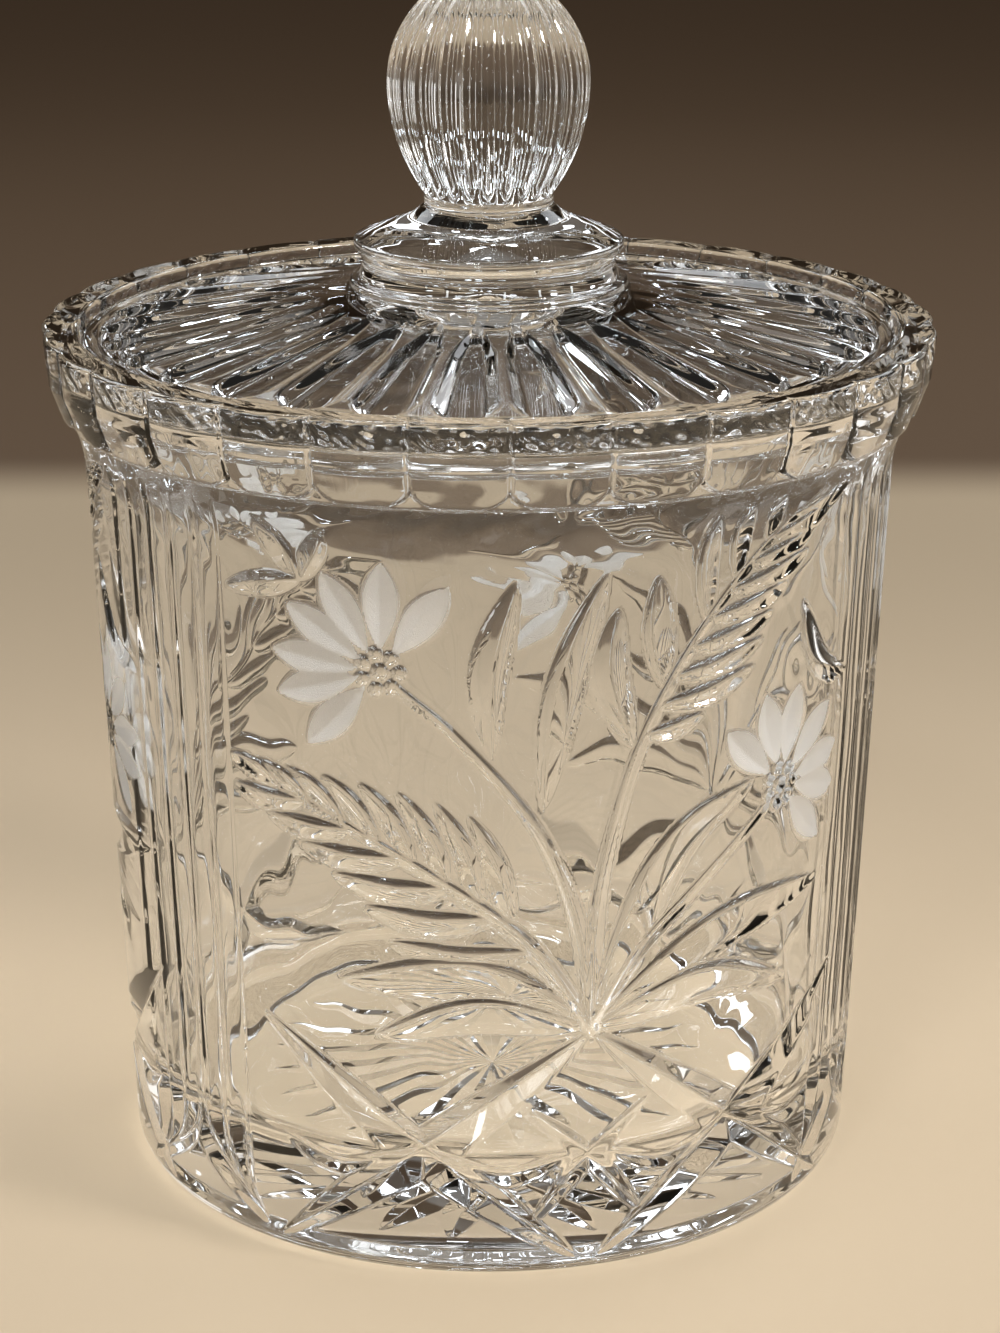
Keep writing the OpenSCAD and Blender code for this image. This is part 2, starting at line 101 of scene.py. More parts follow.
# ---------------------------------------------------------------- profiles and revolved meshes
def rounded(corners, step):
    """Points along an outline of (radius, height, corner radius), a step apart at most. Corners are arcs."""
    points = []
    for i, (r, z, bend) in enumerate(corners):
        here = np.array([r, z], float)
        if bend == 0 or i in (0, len(corners) - 1):
            points.append([here])
            continue
        back = np.array(corners[i - 1][:2], float) - here
        ahead = np.array(corners[i + 1][:2], float) - here
        back_len, ahead_len = np.linalg.norm(back), np.linalg.norm(ahead)
        back, ahead = back / back_len, ahead / ahead_len
        half = math.acos(np.clip(back @ ahead, -1, 1)) / 2
        reach = min(bend / math.tan(half), 0.49 * back_len, 0.49 * ahead_len)
        bend = reach * math.tan(half)
        centre = here + (back + ahead) / np.linalg.norm(back + ahead) * bend / math.sin(half)
        first, last = here + back * reach - centre, here + ahead * reach - centre
        count = max(3, int(math.ceil(bend * (math.pi - 2 * half) / step)) + 1)
        turn = math.atan2(first[0] * last[1] - first[1] * last[0], first @ last)
        arc = [
            centre + np.array([[math.cos(a), -math.sin(a)], [math.sin(a), math.cos(a)]]) @ first
            for a in np.linspace(0, turn, count)
        ]
        points.append(arc)
    line = [points[0][0]]
    for group in points[1:]:
        gap = np.linalg.norm(group[0] - line[-1])
        pieces = max(1, int(math.ceil(gap / step)))
        start = line[-1]
        line += [start + (group[0] - start) * k / pieces for k in range(1, pieces + 1)]
        line += list(group[1:])
    return np.array(line)


def normals(line):
    """Unit normals of an outline, on its right-hand side."""
    along = np.gradient(line, axis=0)
    along /= np.linalg.norm(along, axis=1, keepdims=True)
    return np.stack([along[:, 1], -along[:, 0]], -1)


def revolve(name, radius, height):
    """Mesh object from rows of radii and heights, one column per angle. Both ends are fans to one point."""
    angle = np.radians(np.arange(COLUMNS) * 360 / COLUMNS - 90 - PANEL_ANGLE / 2)
    points = np.stack([radius * np.cos(angle), radius * np.sin(angle), height], -1).reshape(-1, 3)
    rows = len(radius)
    ring = np.arange(COLUMNS)
    ahead = (ring + 1) % COLUMNS
    start = np.arange(rows - 1)[:, None] * COLUMNS
    above = start + COLUMNS
    quads = np.stack([start + ring, start + ahead, above + ahead, above + ring], -1).reshape(-1, 4)
    fans = []
    for row, first, second in ((0, ahead, ring), (rows - 1, ring, ahead)):
        points = np.vstack([points, [0, 0, np.mean(height[row])]])
        tip = np.full(COLUMNS, len(points) - 1)
        fans.append(np.stack([tip, first + row * COLUMNS, second + row * COLUMNS], -1))
    fans = np.concatenate(fans)
    mesh = bpy.data.meshes.new(name)
    loops = np.concatenate([quads.ravel(), fans.ravel()])
    sizes = np.concatenate([np.full(len(quads), 4), np.full(len(fans), 3)])
    mesh.vertices.add(len(points))
    mesh.vertices.foreach_set("co", (points * MM).astype(np.float32).ravel())
    mesh.loops.add(len(loops))
    mesh.loops.foreach_set("vertex_index", loops.astype(np.int32))
    mesh.polygons.add(len(sizes))
    mesh.polygons.foreach_set("loop_start", np.concatenate([[0], np.cumsum(sizes)[:-1]]).astype(np.int32))
    mesh.polygons.foreach_set("use_smooth", np.ones(len(sizes), bool))
    mesh.update(calc_edges=True)
    mesh.validate()
    piece = bpy.data.objects.new(name, mesh)
    bpy.context.scene.collection.objects.link(piece)
    return piece


def paint(piece, name, values):
    """Stores one number per vertex, for the material to read. The tips of the two fans get 0."""
    layer = piece.data.attributes.new(name, "FLOAT", "POINT")
    full = np.zeros(len(piece.data.vertices), np.float32)
    full[: values.size] = values.ravel()
    layer.data.foreach_set("value", full)


# ---------------------------------------------------------------- carving
def curve(points, count=16):
    """Smooth line through a few points (Catmull-Rom)."""
    p = np.array(points, float)
    if len(p) == 2:
        return p[0] + (p[1] - p[0]) * np.linspace(0, 1, count)[:, None]
    p = np.vstack([2 * p[0] - p[1], p, 2 * p[-1] - p[-2]])
    t = np.linspace(0, 1, count, endpoint=False)[:, None]
    out = []
    for a, b, c, d in zip(p, p[1:], p[2:], p[3:]):
        square = (2 * a - 5 * b + 4 * c - d) * t**2
        cube = (3 * b - a - 3 * c + d) * t**3
        out.append(0.5 * (2 * b + (c - a) * t + square + cube))
    return np.vstack(out + [p[-2:-1]])


def lens(widest=0.45, blunt=0.75):
    """Half-width of a leaf along its length, as a share of the largest."""
    power = math.log(0.5) / math.log(widest)
    return lambda s: np.sin(math.pi * np.clip(s, 0, 1) ** power) ** blunt


def taper(first, last):
    """Half-width of a stem that runs from one share to another."""
    return lambda s: first + (last - first) * s


class Carving:
    """Depth of the cuts over the wall, on a grid of angle and height that is twice as wide as one panel."""

    def __init__(self, heights):
        self.columns = COLUMNS // PANELS
        self.step = PANEL_ANGLE / self.columns
        self.mm_per_degree = math.radians(1) * (WALL_BASE_R + WALL_TOP_R) / 2
        self.angle = (np.arange(2 * self.columns) - self.columns) * self.step
        self.u = self.angle * self.mm_per_degree
        self.v = heights
        self.depth = np.zeros((len(heights), len(self.u)))
        self.frost = np.zeros_like(self.depth)

    def window(self, line, margin):
        """Slices of the grid near a line given in mm."""
        low, high = line.min(0) - margin, line.max(0) + margin
        columns = slice(*np.searchsorted(self.u, [low[0], high[0]]))
        rows = slice(*np.searchsorted(self.v, [low[1], high[1]]))
        return rows, columns

    def nearest(self, line, rows, columns):
        """Signed distance to a line (left is positive) and share of its length, at each point of a window."""
        u, v = np.meshgrid(self.u[columns], self.v[rows])
        lengths = np.linalg.norm(np.diff(line, axis=0), axis=1)
        total, done = lengths.sum(), 0.0
        best = np.full(u.shape, np.inf)
        side, share = np.zeros_like(u), np.zeros_like(u)
        for start, end, length in zip(line, line[1:], lengths):
            if length == 0:
                continue
            along = (end - start) / length
            du, dv = u - start[0], v - start[1]
            t = np.clip(du * along[0] + dv * along[1], 0, length)
            off = np.hypot(du - t * along[0], dv - t * along[1])
            closer = off < best
            best = np.where(closer, off, best)
            side = np.where(closer, np.sign(along[0] * dv - along[1] * du), side)
            share = np.where(closer, (done + t) / total, share)
            done += length
        return best * side, share

    def cut(self, points, half_width, depth, shape=lens(), lean=0.0, crisp=1.0, hollow=0, frost=(0, 0)):
        """One cut along a smooth line of (angle, height) points. lean moves the V's bottom to the left edge
        (1) or right edge (-1). A crisp cut, under 1, is steep at its edges. hollow gives a round section
        instead, flatter as it goes up from 2. frost is how far the right and the left face are unpolished."""
        line = curve(points)
        line[:, 0] *= self.mm_per_degree
        rows, columns = self.window(line, half_width * 1.05)
        if rows.start == rows.stop or columns.start == columns.stop:
            return
        off, share = self.nearest(line, rows, columns)
        half = np.maximum(half_width * shape(share), 1e-6)
        x = off / half
        if hollow:
            section = np.clip(1 - np.abs(x) ** hollow, 0, None)
        else:
            section = np.clip(np.minimum((1 + x) / (1 + lean), (1 - x) / (1 - lean)), 0, None) ** crisp
        deep = depth * half / half_width * section
        self.depth[rows, columns] = np.maximum(self.depth[rows, columns], deep)
        if any(frost):
            edge = np.clip((1 - np.abs(x)) * 3, 0, 1) * np.where(x < lean, frost[0], frost[1])
            self.frost[rows, columns] = np.maximum(self.frost[rows, columns], edge)

    def folded(self, field):
        """The field of one panel, with what reaches over its two ends brought back in."""
        half = self.columns // 2
        inner = field[:, half : half + self.columns]
        outer = np.hstack([field[:, half + self.columns :], field[:, :half]])
        return np.maximum(inner, outer)


def at_share(points, share):
    """Point at a share of a smooth line's length."""
    line = curve(points)
    lengths = np.concatenate([[0], np.cumsum(np.linalg.norm(np.diff(line, axis=0), axis=1))])
    return np.array([np.interp(share * lengths[-1], lengths, line[:, k]) for k in (0, 1)])


# Places on the wall are an angle in degrees from the root and a height in mm. The widths of cuts are half
# widths in mm, and a crisp of 1 is a plain V
ROOT = (0, 48.7)
LEFT_FLOWER = (-29, 113.5)
RIGHT_FLOWER = (30.2, 86.7)
LEFT_FROND = [ROOT, (-9.5, 65.4), (-23.2, 77.9), (-36.8, 86.6), (-49, 92.7)]
RIGHT_FROND = [ROOT, (0.9, 73.9), (5.3, 96.7), (12.6, 114.6), (23.2, 129.6), (36, 139)]
STEM_CRISP = 0.7
LEAF_DEPTH = 1.9
LEAF_CRISP = 0.62
LEAFLET_DEPTH = 1.45
LEAFLET_CRISP = 0.6
BUD_LEAF_W = 2.2
BUD_LEAF_DEPTH = 1.3
FLOWER_PETAL_W = 3.5
FLOWER_PETAL_DEPTH = 0.95
# How far a petal's right face and its left face are left unpolished. The frosting is real, but the right face
# is frosted less than the left so that it looks greyer, which is painted shade
FLOWER_FROST_AND_SHADE = (0.75, 1)
DIMPLE_DEPTH = 0.9
# A flower's dimples: radius of the ring that they stand in, their number and their own radius
DIMPLES = ((0, 1, 1.7), (3.1, 7, 1.35))


def heading(degrees):
    """Unit vector of a direction on the wall, counted from level towards the top."""
    return np.array([math.cos(math.radians(degrees)), math.sin(math.radians(degrees))])


def leaflets(carving, midrib, shares, lengths, directions, half_width, bend):
    """Row of narrow leaves along one side of a midrib; lengths and directions run from first to last."""
    scale = np.array([1 / carving.mm_per_degree, 1])
    for share, length, direction in zip(shares, lengths, directions):
        base = at_share(midrib, share)
        way = heading(direction)
        across = np.array([-way[1], way[0]])
        middle = base + (way * length / 2 + across * bend * length) * scale
        tip = base + way * length * scale
        # Short leaves are narrower
        width = half_width * min(1, 0.55 + length / 40)
        carving.cut([base, middle, tip], width, LEAFLET_DEPTH, lens(0.5, 0.6), crisp=LEAFLET_CRISP)


def flower(carving, centre, directions, reach, disc_r):
    """Frosted petals round a dimpled disc."""
    scale = np.array([1 / carving.mm_per_degree, 1])
    for direction in directions:
        way = heading(direction) * scale
        start, end = centre + way * (disc_r - 0.6), centre + way * reach
        shape = lens(0.55, 0.8)
        carving.cut([start, end], FLOWER_PETAL_W, FLOWER_PETAL_DEPTH, shape, lean=0.1, frost=FLOWER_FROST_AND_SHADE)
    for ring_r, count, dimple_r in DIMPLES:
        for k in range(count):
            spot = centre + heading(360 * k / count) * ring_r * scale
            carving.cut([spot, spot + scale * 0.05], dimple_r, DIMPLE_DEPTH, taper(1, 1), hollow=3)


def plant(carving):
    """One panel's two flowers, two fronds and plain leaves, all from one root."""
    # Stems and midribs: line, half width, depth, and the share of its width that is left at its end
    for points, half_width, depth, end_share in (
        ([ROOT, (-2.2, 68.2), (-8.1, 86), (-18.6, 102.1), (-26.5, 110.6)], 1.6, 1.4, 0.5),
        ([ROOT, (6.8, 61.7), (15.6, 71.7), (27.5, 83.6)], 1.5, 1.3, 0.5),
        (LEFT_FROND, 1.6, 1.5, 0.35),
        (RIGHT_FROND, 1.6, 1.5, 0.35),
    ):
        carving.cut(points, half_width, depth, taper(1, end_share), crisp=STEM_CRISP)
    # A frond's rows of narrow leaves: places along the midrib, lengths, directions, half width and bend
    upper, lower, last, right = (np.linspace(0, 1, count) for count in (8, 6, 3, 9))
    for frond, shares, lengths, directions, half_width, bend in (
        (LEFT_FROND, 0.33 + 0.6 * upper, 22.5 - 12 * upper, 109 + 49 * upper**1.5, 2.1, -0.06),
        (LEFT_FROND, 0.25 + 0.61 * lower, 25 - 11 * lower, 177 + 0 * lower, 2.3, 0.07),
        (RIGHT_FROND, 0.72 + 0.15 * last, 19 - 8.5 * last, 87 - 12 * last, 2.0, 0.05),
        (RIGHT_FROND, 0.52 + 0.41 * right, (11, 19, 18, 17, 17, 18, 15, 15, 14), 13 + 0 * right, 2.0, -0.06),
    ):
        leaflets(carving, frond, shares, lengths, directions, half_width, bend)
    # Plain leaves, each with one broad face: start, middle and tip, half width, and side of the deepest line
    for points, half_width, lean in (
        ([ROOT, (-16, 58.5), (-36.1, 56.9)], 4.2, -0.36),
        ([ROOT, (-16, 52), (-30.9, 46.9)], 3.3, -0.36),
        ([ROOT, (11.5, 79), (24.9, 89.6)], 4.1, 0.33),
        ([ROOT, (20, 62.8), (40.3, 66.1)], 4.2, 0.33),
        ([ROOT, (18, 53.6), (33.7, 49.2)], 3.5, 0.33),
        ([(-14.3, 98.9), (-14.7, 114), (-11.1, 129.6)], 3.3, -0.24),
        ([(-7.3, 89.5), (-4.8, 110), (0.9, 130.6)], 3.4, 0.24),
        ([(5, 99.6), (1.5, 112), (2.4, 124.2)], 3.3, -0.24),
        ([(9.1, 109.6), (8.3, 120), (8, 129.2)], 2.9, 0.24),
        ([(32.5, 119.6), (38, 106.5), (47, 102)], 2.4, 0.24),
    ):
        carving.cut(points, half_width, LEAF_DEPTH, lens(0.5, 0.7), lean=lean, crisp=LEAF_CRISP)
    # Three small leaves by the flutes, from one point
    for tip in ((-46.4, 138.5), (-51.6, 124.9), (-35.9, 137.7)):
        carving.cut([(-39.8, 128.2), tip], BUD_LEAF_W, BUD_LEAF_DEPTH, lens(0.5, 0.7), crisp=0.8)
    flower(carving, LEFT_FLOWER, (227, 197, 174, 147, 120, 88, 53), 19, 4.3)
    flower(carving, RIGHT_FLOWER, (136, 105, 78, 42, 10, -15, -47), 18, 4.4)


FLUTE_GROUP = -65
FLUTES = 5
FLUTE_ANGLE = 5
FLUTE_FOOT_Z = 30
FLUTE_W = 3.05
FLUTE_DEPTH = 0.4
# Power of the flutes' section: the higher, the flatter are their floors and the narrower the ridges between
FLUTE_FLAT = 6
FAN_CUTS = 3
# Angle from the middle of the flutes to the point of a fan, and that point's height
FAN_TURN = 15
FAN_POINT_Z = 5.5
FAN_W = 3.0
FAN_DEPTH = 1.6


def flutes(carving):
    """Upright hollows between two panels, with a pointed fan of cuts under them."""
    for k in range(FLUTES):
        a = FLUTE_GROUP + (k - (FLUTES - 1) / 2) * FLUTE_ANGLE
        line = [(a, FLUTE_FOOT_Z - 4), (a, RIM_Z + 6)]
        carving.cut(line, FLUTE_W, FLUTE_DEPTH, taper(1, 1), hollow=FLUTE_FLAT)
    for side in (-1, 1):
        point = (FLUTE_GROUP + side * FAN_TURN, FAN_POINT_Z)
        for k in range(FAN_CUTS):
            top = (FLUTE_GROUP + side * FLUTE_ANGLE * k, FLUTE_FOOT_Z - 1)
            bulge = (top[0] + side * (2.5 - k), 17 - 2 * k)
            carving.cut([top, bulge, point], FAN_W, FAN_DEPTH, lens(0.35, 0.6))


CROSS_Z = 25
CROSS_AT = 24.5
CROSS_TOP_Z = 48
CROSS_FOOT_Z = 4
CROSS_W = 4.2
CROSS_DEPTH = 2.7
# Angles from a large cross to the two ends of a level cut
LEVEL_FROM = 3
LEVEL_TO = 21.5
LEVEL_W = 2.0
LEVEL_DEPTH = 1.0
SMALL_CROSS_W = 1.9
SMALL_CROSS_DEPTH = 1.1


def crosses(carving):
    """Large crossed cuts round the base, a small cross between them, and level cuts that join them."""
    for side in (-1, 1):
        for lean in (-1, 1):
            top = (side * CROSS_AT - lean * CROSS_AT, CROSS_TOP_Z)
            foot = (side * CROSS_AT + lean * CROSS_AT * 0.95, CROSS_FOOT_Z)
            carving.cut([top, (side * CROSS_AT, CROSS_Z), foot], CROSS_W, CROSS_DEPTH, lens(0.5, 0.8))
        for way in (-1, 1):
            near = (side * CROSS_AT + way * LEVEL_FROM, CROSS_Z - 0.5)
            far = (side * CROSS_AT + way * LEVEL_TO, CROSS_Z - 0.5)
            middle = ((near[0] + far[0]) / 2, CROSS_Z - 4)
            carving.cut([near, middle, far], LEVEL_W, LEVEL_DEPTH, lens(0.5, 0.6))
        line = [(side * 9, 34), (0, 24), (-side * 9.5, 10)]
        carving.cut(line, SMALL_CROSS_W, SMALL_CROSS_DEPTH, lens(0.5, 0.8))


# ---------------------------------------------------------------- jar
def jar_outline():
    """Outside outline, from the base's centre over the rim to the ledge, and inside outline, to the floor."""
    outside = rounded(
        [
            (TIP_R, HOLLOW_H, 0),
            (HOLLOW_R - 2 * HOLLOW_H, HOLLOW_H, 2),
            (HOLLOW_R, 0, 0.6),
            (WALL_BASE_R + 0.1, 0, BASE_ROUND_R),
            *[(wall_r(z) + RIM_LIP * t**2, z, 0) for t, z in COVE],
            (RIM_R - BAND_IN - FACET_IN, RIM_Z, 1.2),
            (RIM_R - BAND_IN, BAND_Z, 0.4),
            (RIM_R, JAR_H, EDGE_ROUND),
            (RECESS_R, JAR_H, EDGE_ROUND),
            (RECESS_R, LEDGE_Z, 0.6),
            (RECESS_R - 0.7, LEDGE_Z, 0),
        ],
        ROW_STEP,
    )
    inside = rounded(
        [
            (RECESS_R - 0.8, LEDGE_Z, 0),
            (MOUTH_R, LEDGE_Z, 0.8),
            (wall_r(FLARE_Z) - WALL_T, FLARE_Z, 4),
            (wall_r(FLOOR_Z) - WALL_T, FLOOR_Z, FLOOR_CORNER_R),
            (TIP_R, FLOOR_Z, 0),
        ],
        3 * ROW_STEP,
    )
    return outside, inside


def lobed_rim(radius, height, angle):
    """Depth of the notches round the rim: lobes with sharp creases between them and round lower ends."""
    step = 360 / LOBES
    # From the middle of a lobe, 0, to the crease beside it, 1
    x = np.abs(((angle % step) / step) * 2 - 1)
    t = np.clip((height - RIM_Z + 0.6) / (BAND_Z - RIM_Z), 0, 1)
    round_end = np.sqrt(np.clip(1 - (1 - np.clip(t / 0.6, 0, 1)) ** 2, 0, 1))
    beside = np.clip((x - round_end * 0.97) / 0.06, 0, 1)
    stands_out = np.clip(radius - (wall_r(RIM_Z) + RIM_LIP), 0, None)
    crease = LOBE_DEPTH * x**2
    depth = np.maximum(crease, beside * stands_out * 0.9)
    # The lobes fade towards the round edge of the recess
    inner = np.clip((radius - (RECESS_R + 1.6)) / 3, 0, 1)
    return np.where(height > RIM_Z - 0.7, depth * inner, 0)


STAR_RAYS = 24
STAR_R = 42
STAR_W = 3.6
STAR_TIP_W = 0.2
STAR_DEPTH = 1.0


def star_depth(radius, angle):
    """Depth of the star cut into the underside: long pointed V cuts that meet at the centre."""
    step = 360 / STAR_RAYS
    off = np.abs((angle / step) % 1 - 0.5) * np.radians(step) * radius
    share = np.clip(radius / STAR_R, 0, 1)
    half = (STAR_W - STAR_TIP_W) * np.sin(math.pi * share**0.8) ** 0.7 + STAR_TIP_W
    return STAR_DEPTH * (half / STAR_W) * np.clip(1 - off / half, 0, 1) * (radius < STAR_R)


def bore_wave(a, z):
    """Unevenness of the inner wall, as on any pressed and polished jar: long waves, shorter ones over them,
    fine ones near the rim, and upright draw marks at the mouth. The angle is in radians."""
    wave = 0.1 * np.sin(6 * a + np.sin(z / 23)) * np.sin(z / 17)
    wave += 0.12 * np.sin(17 * a + 1 + 2 * np.sin(z / 31)) * np.cos(z / 8 + np.sin(5 * a))
    wave += 0.028 * np.sin(37 * a + 3 * np.sin(z / 19)) * np.sin(z / 4.5 + 2 * np.sin(9 * a))
    near_rim = np.clip((z - FLARE_Z + 20) / 8, 0, 1)
    wave += 0.1 * near_rim * np.sin(29 * a + 2 * np.sin(z / 3)) * np.sin(z / 1.8 + 2 * np.sin(7 * a))
    marks = np.sin(97 * a) + np.sin(131 * a + 2) + np.sin(59 * a + 4)
    return wave + 0.012 * marks * np.clip((z - FLARE_Z + 6) / 6, 0, 1)


def recess_ripple(a, z):
    """Fine ripple on the upright side of the recess."""
    cells = np.sin(83 * a + 4 * np.sin(11 * a)) * np.sin(2.2 * z + 2 * np.sin(31 * a))
    return 0.12 * (cells + 0.6 * np.sin(137 * a + 1.7 * z))


def in_columns(line):
    """An outline's radii and heights, repeated for every column."""
    return np.repeat(line[:, :1], COLUMNS, axis=1), np.repeat(line[:, 1:], COLUMNS, axis=1)


def make_jar():
    """Jar with its carving, and the unpolished faces marked in the attribute frost."""
    outside, inside = jar_outline()
    line = np.vstack([outside, inside])
    out = normals(line)
    rows = len(line)
    radius, height = in_columns(line)
    foot = int(np.argmax((line[:, 0] > REST_R - 1) & (line[:, 1] < 1)))
    wall = slice(foot, int(np.argmax(line[:, 1] > RIM_Z - 0.8)))
    wall_z = line[wall, 1]
    carving = Carving(wall_z)
    plant(carving)
    flutes(carving)
    crosses(carving)
    depth = np.zeros((rows, COLUMNS))
    frost = np.zeros((rows, COLUMNS))
    under_rim = np.clip((RIM_Z - 3 - wall_z) / 5, 0, 1)[:, None]
    depth[wall] = np.tile(carving.folded(carving.depth) * under_rim, (1, PANELS))
    frost[wall] = np.tile(carving.folded(carving.frost), (1, PANELS))
    angle = (np.arange(COLUMNS) * 360 / COLUMNS - PANEL_ANGLE / 2)[None, :]
    rim = np.arange(rows) < len(outside)
    lobes = lobed_rim(radius, height, angle)
    underside = (np.arange(rows) < foot) & (line[:, 0] < HOLLOW_R - 3)
    depth[underside] = star_depth(line[underside, :1], angle)
    radius = radius - depth * out[:, :1]
    height = height - depth * out[:, 1:]
    radius[rim] -= lobes[rim]
    bore = (line[:, 1] > FLOOR_Z + FLOOR_CORNER_R) & (line[:, 1] < LEDGE_Z - 2) & ~rim
    radius[bore] += bore_wave(np.radians(angle), line[bore, 1:])
    recess = rim & (line[:, 0] < RECESS_R + 0.3) & (line[:, 1] < JAR_H - 1) & (line[:, 1] > LEDGE_Z + 0.5)
    radius[recess] += recess_ripple(np.radians(angle), line[recess, 1:])
    jar = revolve("jar_crystal", radius, height)
    paint(jar, "frost", frost)
    return jar


# ---------------------------------------------------------------- lid and knob
LID_GAP = 0.06
LID_EDGE_T = 4.2
LID_EDGE_Z = LEDGE_Z + LID_EDGE_T
LID_EDGE_W = 1.6
LID_RISE = 8
LID_T = 5
KEEPER_R = 68.5
KEEPER_W = 3.5
PETALS = 30
PETAL_OUTER_R = 69.6
PETAL_INNER_R = 31
PETAL_INNER_DEPTH = 0.7
PETAL_OUTER_DEPTH = 2.0
COLLAR_FOOT_R = 24.9
COLLAR_FOOT_Z = LID_EDGE_Z + LID_RISE
COLLAR_FOOT_H = 1.4
COLLAR_STEP_W = 1.5
LID_SLOPE = LID_RISE / (PETAL_OUTER_R - COLLAR_FOOT_R)
WAIST_R = 22.3
WAIST_H = 4.6
DISC_R = 24.1
DISC_H = 7
DISC_T = 1.4
NECK_R = 11.5
NECK_H = 1.2
NECK_FLARE_W = 2.8
NECK_FLARE_H = 2.4
NECK_FLARE = [(t, COLLAR_TOP_Z - NECK_FLARE_H * t) for t in np.linspace(1, 0, 12)]
BALL_R = 17.9
BALL_FOOT_Z = COLLAR_TOP_Z + NECK_H + 0.2
BALL_ROWS = 90
RIBS = 24
RIB_DEPTH = 0.95


def lid_outlines():
    """Underside, from the axis over the edge, and top with its collar, up to the land for the knob."""
    under_z = COLLAR_FOOT_Z + COLLAR_FOOT_R * LID_SLOPE - LID_T
    keeper_in = KEEPER_R - KEEPER_W
    under = rounded(
        [
            (TIP_R, under_z - 2.5, 0),
            (30, under_z - 30 * LID_SLOPE, 60),
            (keeper_in, under_z - keeper_in * LID_SLOPE, 1.0),
            (keeper_in, KEEPER_Z, 0.8),
            (KEEPER_R, KEEPER_Z, 0.8),
            (KEEPER_R, LEDGE_Z + LID_GAP, 0.5),
            (LID_R, LEDGE_Z + LID_GAP, 0.6),
            (LID_R, LID_EDGE_Z, 0.9),
            (LID_R - LID_EDGE_W, LID_EDGE_Z, 0),
        ],
        3 * ROW_STEP,
    )
    foot_top_z = COLLAR_FOOT_Z + COLLAR_FOOT_H
    disc_z = COLLAR_FOOT_Z + DISC_H
    top = rounded(
        [
            (LID_R - LID_EDGE_W - 0.05, LID_EDGE_Z, 0),
            (PETAL_OUTER_R, LID_EDGE_Z, 1.0),
            (COLLAR_FOOT_R, COLLAR_FOOT_Z, 0.4),
            (COLLAR_FOOT_R, foot_top_z, 0.6),
            (COLLAR_FOOT_R - COLLAR_STEP_W, foot_top_z + 0.1, 0.3),
            (WAIST_R, COLLAR_FOOT_Z + WAIST_H, 2.5),
            (DISC_R, disc_z, 0.5),
            (DISC_R, disc_z + DISC_T, 0.7),
            *[(NECK_R + NECK_FLARE_W * t**1.3, z, 0) for t, z in NECK_FLARE],
        ],
        ROW_STEP,
    )
    return under, top


def petal_depth(radius, angle):
    """Depth of the long hollows round the lid: pointed inwards, with round outer ends and ridges between."""
    step = 360 / PETALS
    # Across a petal from -1 to 1, and along it from its point, 0, to its outer end, 1
    x = ((angle / step) % 1 - 0.5) * 2
    t = np.clip((radius - PETAL_INNER_R) / (PETAL_OUTER_R - PETAL_INNER_R), 0, 1)
    # Share of the full width: a point over the first third, full, and a round end over the last fifth
    end = np.clip((t - 0.8) / 0.18, 0, 1)
    half = np.minimum((t / 0.3) ** 0.6, 1) * np.sqrt(1 - end**2)
    depth = PETAL_INNER_DEPTH + (PETAL_OUTER_DEPTH - PETAL_INNER_DEPTH) * t
    depth = depth * np.clip(t / 0.15, 0, 1)
    # A flat floor between two rounded flanks
    flank = np.clip((np.abs(x) / np.maximum(half, 1e-3) - 0.35) / 0.6, 0, 1)
    return depth * (0.5 + 0.5 * np.cos(math.pi * flank)) * (half > 1e-3)


def lid_ripple(a, r):
    """Slight unevenness of the lid's underside, fading towards the axis. The angle is in radians."""
    return 0.02 * np.sin(19 * a + r / 4) * np.sin(r / 2.5 + np.sin(7 * a)) * np.clip(r / 20, 0, 1)


def make_lid():
    """Lid with its petals, keeper ring and collar."""
    under, top = lid_outlines()
    line = np.vstack([under, top])
    radius, height = in_columns(line)
    angle = (np.arange(COLUMNS) * 360 / COLUMNS)[None, :]
    is_top = np.arange(len(line)) >= len(under)
    plate = is_top & (line[:, 0] > PETAL_INNER_R - 1)
    height[plate] -= petal_depth(radius, angle)[plate]
    inside = ~is_top & (line[:, 0] < KEEPER_R - KEEPER_W - 2)
    height[inside] += lid_ripple(np.radians(angle), line[inside, :1])
    return revolve("lid_crystal", radius, height)


def make_knob():
    """Plain neck ring and a ball with sharp ribs and hollows between them."""
    neck = rounded(
        [
            (TIP_R, COLLAR_TOP_Z, 0),
            (NECK_R, COLLAR_TOP_Z, 0.2),
            (NECK_R, COLLAR_TOP_Z + NECK_H, 0.5),
            (NECK_R - 0.3, BALL_FOOT_Z, 0),
        ],
        ROW_STEP,
    )
    # Two arcs: the lower one leans in to the neck, the upper one closes the ball
    ball_h = KNOB_TOP_Z - BALL_FOOT_Z
    half_h = ball_h / 2
    lean = BALL_R - NECK_R + 0.3
    lower_arc = (lean**2 + half_h**2) / (2 * lean)
    upper_arc = (BALL_R**2 + half_h**2) / (2 * BALL_R)
    share = 0.5 - 0.5 * np.cos(np.linspace(0.02, 0.995, BALL_ROWS) * math.pi)
    z = (share - 0.5) * ball_h
    arc = np.where(z < 0, lower_arc, upper_arc)
    ball_r = BALL_R - arc + np.sqrt(np.clip(arc**2 - z**2, 0, None))
    line = np.vstack([neck, np.stack([ball_r, BALL_FOOT_Z + share * ball_h], -1)])
    radius, height = in_columns(line)
    # Across a rib's hollow from -1 to 1; the hollows fade at the neck and at the top
    x = ((np.arange(COLUMNS) * RIBS / COLUMNS) % 1 - 0.5) * 2
    fade = np.minimum(1, np.minimum(12 * share, 5 * (1 - share)))
    radius[len(neck) :] -= RIB_DEPTH * fade[:, None] * (1 - x[None, :] ** 2)
    return revolve("knob_crystal", radius, height)


# ---------------------------------------------------------------- materials
GLASS_COLOUR = (0.98, 0.99, 1, 1)
GLASS_IOR = 1.54
